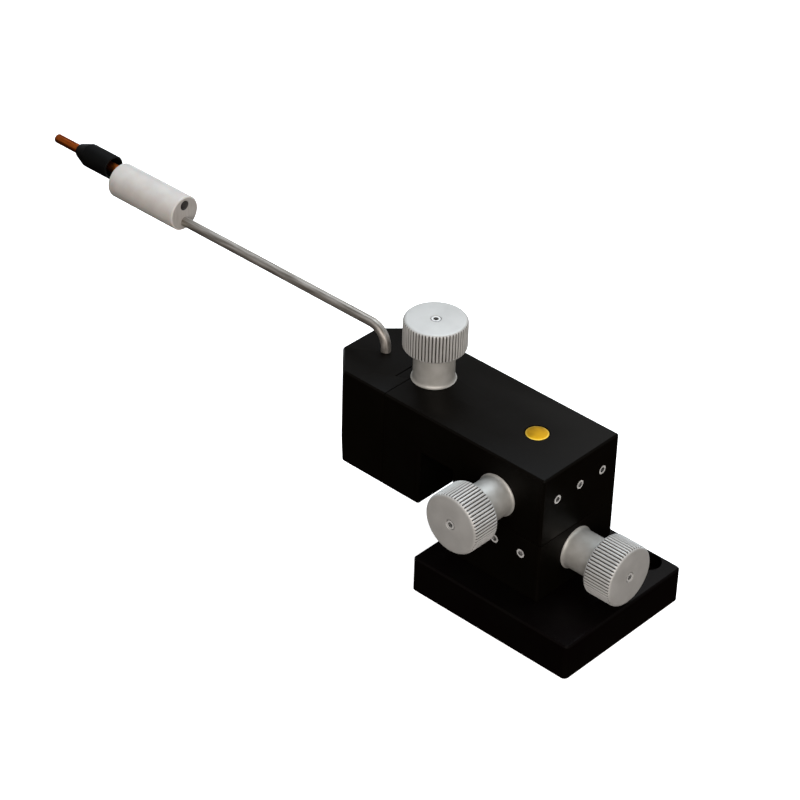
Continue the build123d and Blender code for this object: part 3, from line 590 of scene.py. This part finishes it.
# Drawn stainless steel: grey with a brownish cast, and scratches along its length.
rod_steel, rod_tree, rod_shader = new_material("drawn_stainless_steel", Metallic=0.75)
rod_lines = object_pattern(rod_tree, 0.5, stretch=(0.04, 1, 0.2), Detail=4.0)
rod_tree.links.new(ramp(rod_tree, rod_lines.outputs["Fac"], (0.36, "#7f7971"), (0.64, "#bdb7b0")),
                   rod_shader.inputs["Base Color"])
rod_tree.links.new(span(rod_tree, rod_lines.outputs["Fac"], 0.4, 0.55), rod_shader.inputs["Roughness"])
bump(rod_tree, rod_shader, rod_lines.outputs["Fac"], 0.08, 0.02)


def extrude_loop(shape, edges, move, scale=1.0, centre=None):
    """Extrudes a loop of edges, moves the new loop and scales it about a centre. Returns the new loop's edges."""
    made = bmesh.ops.extrude_edge_only(shape, edges=edges)["geom"]
    verts = [item for item in made if isinstance(item, bmesh.types.BMVert)]
    bmesh.ops.translate(shape, verts=verts, vec=move)
    if centre is not None:
        bmesh.ops.scale(shape, verts=verts, vec=(scale, scale, scale), space=Matrix.Translation(-Vector(centre)))
    return [item for item in made if isinstance(item, bmesh.types.BMEdge)]


rod = bmesh.new()
bmesh.ops.create_circle(rod, segments=ROD_SIDES, radius=ROD_R - ROD_CHAMFER, cap_ends=True)
bmesh.ops.translate(rod, verts=rod.verts, vec=(ROD_X, 0, ROD_BOTTOM))
loop = extrude_loop(rod, rod.edges[:], (0, 0, ROD_CHAMFER), ROD_R / (ROD_R - ROD_CHAMFER),
                    (ROD_X, 0, ROD_BOTTOM + ROD_CHAMFER))
loop = extrude_loop(rod, loop, (0, 0, ROD_HEIGHT - ROD_BEND_R - ROD_BOTTOM - ROD_CHAMFER))
bent = bmesh.ops.spin(rod, geom=loop, cent=(ROD_X + ROD_BEND_R, 0, ROD_HEIGHT - ROD_BEND_R), axis=(0, 1, 0),
                      angle=pi / 2, steps=BEND_STEPS)["geom_last"]
loop = [item for item in bent if isinstance(item, bmesh.types.BMEdge)]
loop = extrude_loop(rod, loop, (ROD_END - ROD_X - ROD_BEND_R, 0, 0))
bmesh.ops.contextual_create(rod, geom=loop)
bmesh.ops.scale(rod, verts=rod.verts, vec=(MM, MM, MM))
rod_piece = finish_piece("bent_arm_rod", rod, rod_steel)
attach(rod_piece, "probe_arm")
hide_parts("bent_rod")


# Insulator
# A turned cylinder of white acetal. The rod is pressed into its lower bore, the probe tube into the upper one,
# which stays open behind the tube as the socket for a test lead's pin.

INSULATOR_REAR = 148.6
INSULATOR_LENGTH = 28.6
INSULATOR_R = 5.6
REAR_ROUND = 0.5
FRONT_ROUND = 0.8
BORE_OFF = 2.825
ROD_BORE_R = 1.53
ROD_BORE_DEPTH = 12.03
LEAD_SOCKET_R = 1.6
LEAD_SOCKET_DEPTH = 8.0
STEM_BORE_R = 1.33
BORE_SIDES = 40

# White acetal (POM): slightly cool milky white, a soft shine, and light that sinks a little way in.
acetal, acetal_tree, acetal_shader = new_material(
    "white_acetal", Roughness=0.3, Subsurface_Weight=0.15, Subsurface_Scale=0.6 * MM)
acetal_cloud = object_pattern(acetal_tree, 5, Detail=3.0)
acetal_rings = object_pattern(acetal_tree, 0.4, stretch=(1, 0.02, 0.02), Detail=1.0)
acetal_tree.links.new(ramp(acetal_tree, acetal_cloud.outputs["Fac"], (0.35, "#cbc6c1"), (0.65, "#d3cfca")),
                      acetal_shader.inputs["Base Color"])
bump(acetal_tree, acetal_shader, acetal_rings.outputs["Fac"], 0.06, 0.02)

# The sawn rear end of the same bar: duller, and coloured grey as painted shade on the end face.
rear_end_painted_shade, sawn_tree, sawn_shader = new_material("insulator_rear_painted_shade", Roughness=0.6)
sawn_marks = object_pattern(sawn_tree, 0.5, stretch=(1, 1, 0.1), Detail=3.0)
sawn_tree.links.new(ramp(sawn_tree, sawn_marks.outputs["Fac"], (0.35, "#a39e99"), (0.65, "#aeaaa5")),
                    sawn_shader.inputs["Base Color"])


# The wall of the test lead's socket: the same bar, coloured dark grey as painted shade inside the deep bore.
shaded_acetal, shaded_tree, shaded_shader = new_material("lead_socket_painted_shade", Roughness=0.5)
shaded_marks = object_pattern(shaded_tree, 0.6, Detail=3.0)
shaded_tree.links.new(ramp(shaded_tree, shaded_marks.outputs["Fac"], (0.35, "#4a4846"), (0.65, "#5a5856")),
                      shaded_shader.inputs["Base Color"])


def hole_loop(shape, off, height, radius):
    """Circle of edges at an end face, moved across it."""
    ring = bmesh.ops.create_circle(shape, segments=BORE_SIDES, radius=radius)["verts"]
    bmesh.ops.translate(shape, verts=ring, vec=(off, 0, height))
    return list({edge for vert in ring for edge in vert.link_edges})


def bored(shape, off, start, end, radius):
    """Bore wall from one height to another. Returns the loops at its two ends."""
    mouth = hole_loop(shape, off, start, radius)
    return mouth, extrude_loop(shape, mouth, (0, 0, end - start))


def loop_at(shape, height, beyond):
    """Edges at one height whose ends are farther from the axis than a radius."""
    return [edge for edge in shape.edges if all(
        abs(vert.co.z - height) < 0.001 and hypot(vert.co.x, vert.co.y) > beyond for vert in edge.verts)]


insulator = turned(bmesh.new(), [
    *quarter((INSULATOR_R - REAR_ROUND, REAR_ROUND), REAR_ROUND, REAR_ROUND, -90, 0),
    *quarter((INSULATOR_R - FRONT_ROUND, INSULATOR_LENGTH - FRONT_ROUND), FRONT_ROUND, FRONT_ROUND, 0, 90),
], closed=False)
bmesh.ops.remove_doubles(insulator, verts=insulator.verts, dist=0.001)
rear_edge = loop_at(insulator, 0, INSULATOR_R - REAR_ROUND - 0.1)
front_edge = loop_at(insulator, INSULATOR_LENGTH, INSULATOR_R - FRONT_ROUND - 0.1)
# The local x axis is turned to point down, so the rod's bore lies at +x and the tube's at -x.
rod_mouth, rod_bottom = bored(insulator, BORE_OFF, 0, ROD_BORE_DEPTH, ROD_BORE_R)
socket_mouth, socket_step = bored(insulator, -BORE_OFF, 0, LEAD_SOCKET_DEPTH, LEAD_SOCKET_R)
tube_start, tube_mouth = bored(insulator, -BORE_OFF, LEAD_SOCKET_DEPTH, INSULATOR_LENGTH, STEM_BORE_R)
bmesh.ops.contextual_create(insulator, geom=rod_bottom)
bmesh.ops.bridge_loops(insulator, edges=socket_step + tube_start)
bmesh.ops.triangle_fill(insulator, use_beauty=True, use_dissolve=False, edges=rear_edge + rod_mouth + socket_mouth)
bmesh.ops.triangle_fill(insulator, use_beauty=True, use_dissolve=False, edges=front_edge + tube_mouth)
# Faces in the lead socket take the painted bore shade, and the rear end face takes the painted shade of the rear end.
for face in insulator.faces:
    middle = face.calc_center_median()
    in_socket = hypot(middle.x + BORE_OFF, middle.y) < LEAD_SOCKET_R and 0.001 < middle.z < INSULATOR_LENGTH - 0.001
    face.material_index = 1 if in_socket else 2 if abs(middle.z) < 0.001 else 0
bmesh.ops.rotate(insulator, verts=insulator.verts, cent=(0, 0, 0), matrix=Matrix.Rotation(pi / 2, 3, "Y"))
bmesh.ops.translate(insulator, verts=insulator.verts, vec=(INSULATOR_REAR, 0, ROD_HEIGHT + BORE_OFF))
bmesh.ops.scale(insulator, verts=insulator.verts, vec=(MM, MM, MM))
insulator_piece = finish_piece("insulator_body", insulator, acetal)
insulator_piece.data.materials.append(shaded_acetal)
insulator_piece.data.materials.append(rear_end_painted_shade)
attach(insulator_piece, "probe_arm")
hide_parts("insulator")


# Probe tube
# Drawn copper tube, darkened by handling. Its front end is slit lengthways, so that it grips the needle's shank.

TUBE_LINE = Vector((0, 0, 66.65))
TUBE_R = 1.5
STEM_R = 1.3
STEM_REAR = 156.7
STEM_END = 177.23
TUBE_END = 206.4
TUBE_BORE = 0.8
SOCKET_DEPTH = 12.0
SLIT_LENGTH = 9.0
SLIT_HALF = 0.15
TIP_ROUND = 0.6
END_HIGHLIGHT_LENGTH = 0.7
HALF_STEPS = 22

# Drawn copper, oxidised by handling to orange brown, with drawing lines along the tube.
copper, copper_tree, copper_shader = new_material("oxidised_copper", Metallic=1.0)
copper_lines = object_pattern(copper_tree, 0.3, stretch=(0.05, 1, 1), Detail=3.0)
copper_cloud = object_pattern(copper_tree, 3, Detail=3.0)
copper_skin = ramp(copper_tree, copper_cloud.outputs["Fac"], (0.3, "#b5521c"), (0.7, "#d9752c"))
# The last fraction of a millimetre is coloured pale, a painted highlight on the rounded mouth.
copper_place = add_node(copper_tree, "ShaderNodeTexCoord")
copper_along = add_node(copper_tree, "ShaderNodeSeparateXYZ", links={"Vector": copper_place.outputs["Object"]})
end_highlight = add_node(copper_tree, "ShaderNodeMapRange",
                  {"From Min": (TUBE_END - END_HIGHLIGHT_LENGTH) * MM, "From Max": (TUBE_END - END_HIGHLIGHT_LENGTH / 2) * MM},
                  {"Value": copper_along.outputs["X"]})
copper_tint = add_node(copper_tree, "ShaderNodeMix", {7: colour("#d8d2c8")},
                       {0: end_highlight.outputs["Result"], 6: copper_skin}, data_type="RGBA")
copper_tree.links.new(copper_tint.outputs[2], copper_shader.inputs["Base Color"])
copper_tree.links.new(span(copper_tree, copper_lines.outputs["Fac"], 0.25, 0.42), copper_shader.inputs["Roughness"])
bump(copper_tree, copper_shader, copper_lines.outputs["Fac"], 0.1, 0.02)

tube = turned(bmesh.new(), [
    (0, STEM_REAR), (STEM_R, STEM_REAR), (STEM_R, STEM_END), (TUBE_R, STEM_END),
    (TUBE_R, TUBE_END - SLIT_LENGTH), (TUBE_BORE, TUBE_END - SLIT_LENGTH),
    (TUBE_BORE, TUBE_END - SOCKET_DEPTH), (0, TUBE_END - SOCKET_DEPTH),
], steps=2 * HALF_STEPS, closed=False)
slit_angle = asin(SLIT_HALF / TUBE_R)
for turn_start in (0, pi):
    half = [
        (TUBE_BORE, TUBE_END - SLIT_LENGTH), (TUBE_R, TUBE_END - SLIT_LENGTH),
        *quarter((TUBE_R - TIP_ROUND, TUBE_END - TIP_ROUND), TIP_ROUND, TIP_ROUND, 0, 90, 4),
        (TUBE_BORE, TUBE_END),
    ]
    before = set(tube.verts)
    turned(tube, half, steps=HALF_STEPS, angle=pi - 2 * slit_angle, start=turn_start + slit_angle)
    for angle in (turn_start + slit_angle, turn_start + pi - slit_angle):
        side = Vector((-sin(angle), cos(angle), 0))
        rim = [vert for vert in tube.verts if vert not in before and abs(vert.co.dot(side)) < 0.001
               and vert.co.dot(Vector((cos(angle), sin(angle), 0))) > 0]
        bmesh.ops.contextual_create(tube, geom=rim)
bmesh.ops.rotate(tube, verts=tube.verts, cent=(0, 0, 0), matrix=Matrix.Rotation(pi / 2, 3, "Y"))
bmesh.ops.translate(tube, verts=tube.verts, vec=TUBE_LINE)
bmesh.ops.scale(tube, verts=tube.verts, vec=(MM, MM, MM))
tube_piece = finish_piece("split_probe_tube", tube, copper)
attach(tube_piece, "probe_arm")
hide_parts("probe_tube")


# Tip sleeve
# Black moulded nylon: a sleeve that slides on the tube, with an open cup at its rear and a rounded taper in front.

SLEEVE_REAR = 180.2
SLEEVE_LENGTH = 15.5
SLEEVE_R = 3.8
SLEEVE_FRONT_R = 2.1
SLEEVE_TAPER = 4.6
SLEEVE_BORE_R = 1.55
CUP_R = 3.1
CUP_DEPTH = 10.0
CUP_LIP = 0.25
SHOULDER_ROUND = 1.2

# Black nylon (PA66): matte with a fine moulded grain.
nylon, nylon_tree, nylon_shader = new_material("black_nylon", Specular_IOR_Level=0.07)
nylon_grain = object_pattern(nylon_tree, 0.3, Detail=3.0)
nylon_cloud = object_pattern(nylon_tree, 4, Detail=2.0)
nylon_tree.links.new(ramp(nylon_tree, nylon_cloud.outputs["Fac"], (0.3, "#080808"), (0.7, "#0c0c0b")),
                     nylon_shader.inputs["Base Color"])
nylon_tree.links.new(span(nylon_tree, nylon_cloud.outputs["Fac"], 0.45, 0.56), nylon_shader.inputs["Roughness"])
bump(nylon_tree, nylon_shader, nylon_grain.outputs["Fac"], 0.15, 0.03)

taper_start = SLEEVE_LENGTH - SLEEVE_TAPER
taper_slope = atan2(SLEEVE_R - SLEEVE_FRONT_R, SLEEVE_TAPER)
shoulder_reach = SHOULDER_ROUND * tan(taper_slope / 2)
sleeve = turned(bmesh.new(), [
    (CUP_R, CUP_DEPTH), *quarter((CUP_R + CUP_LIP, CUP_LIP), CUP_LIP, CUP_LIP, -180, -90, 3),
    *quarter((SLEEVE_R - CUP_LIP, CUP_LIP), CUP_LIP, CUP_LIP, -90, 0, 3),
    *quarter((SLEEVE_R - SHOULDER_ROUND, taper_start - shoulder_reach), SHOULDER_ROUND, SHOULDER_ROUND, 0,
             taper_slope * 180 / pi, 4),
    (SLEEVE_FRONT_R + 0.15, SLEEVE_LENGTH - 0.4), (SLEEVE_FRONT_R - 0.1, SLEEVE_LENGTH),
    (SLEEVE_BORE_R, SLEEVE_LENGTH), (SLEEVE_BORE_R, CUP_DEPTH),
], steps=72)
bmesh.ops.rotate(sleeve, verts=sleeve.verts, cent=(0, 0, 0), matrix=Matrix.Rotation(pi / 2, 3, "Y"))
bmesh.ops.translate(sleeve, verts=sleeve.verts, vec=TUBE_LINE + Vector((SLEEVE_REAR, 0, 0)))
bmesh.ops.scale(sleeve, verts=sleeve.verts, vec=(MM, MM, MM))
sleeve_piece = finish_piece("sliding_tip_sleeve", sleeve, nylon)
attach(sleeve_piece, "sleeve")
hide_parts("tip_sleeve")


# Rails, gib strips and nuts
# The rails are ground steel, the gib strips and lead-screw nuts milled brass. They show only at the open ends
# of the slides.

# Ground tool steel: cool grey with fine grinding lines along the rail.
ground_steel, ground_tree, ground_shader = new_material("ground_tool_steel", Metallic=1.0)
ground_lines = object_pattern(ground_tree, 0.4, stretch=(0.08, 1, 1), Detail=4.0)
ground_tree.links.new(ramp(ground_tree, ground_lines.outputs["Fac"], (0.35, "#9da0a3"), (0.65, "#b6b8ba")),
                      ground_shader.inputs["Base Color"])
ground_tree.links.new(span(ground_tree, ground_lines.outputs["Fac"], 0.3, 0.45), ground_shader.inputs["Roughness"])
for rail_node, rail_body in {"x_rail": "base", "y_rail": "x_stage"}.items():
    dressed_block(rail_node, rail_body, ground_steel, edge_mm=0.1)
# Milled brass: duller than the plug, with faint cutter marks across the strip.
milled_brass, milled_tree, milled_shader = new_material("milled_brass", Metallic=1.0)
milled_marks = object_pattern(milled_tree, 0.6, stretch=(1, 1, 0.2), Detail=3.0)
milled_tree.links.new(ramp(milled_tree, milled_marks.outputs["Fac"], (0.35, "#b8912f"), (0.65, "#cba448")),
                      milled_shader.inputs["Base Color"])
milled_tree.links.new(span(milled_tree, milled_marks.outputs["Fac"], 0.35, 0.5), milled_shader.inputs["Roughness"])
for strip_node, strip_body in {"x_gib": "x_stage", "y_gib": "arm", "z_gib": "z_carriage", "x_drive_nut": "base",
                               "y_drive_nut": "x_stage", "z_drive_nut": "z_carriage"}.items():
    dressed_block(strip_node, strip_body, milled_brass, edge_mm=0.08)
for screw_node in ("x_lead_screw", "y_lead_screw", "z_lead_screw", "y_rail_screws"):
    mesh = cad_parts[screw_node].data
    mesh.materials.clear()
    mesh.materials.append(ground_steel)
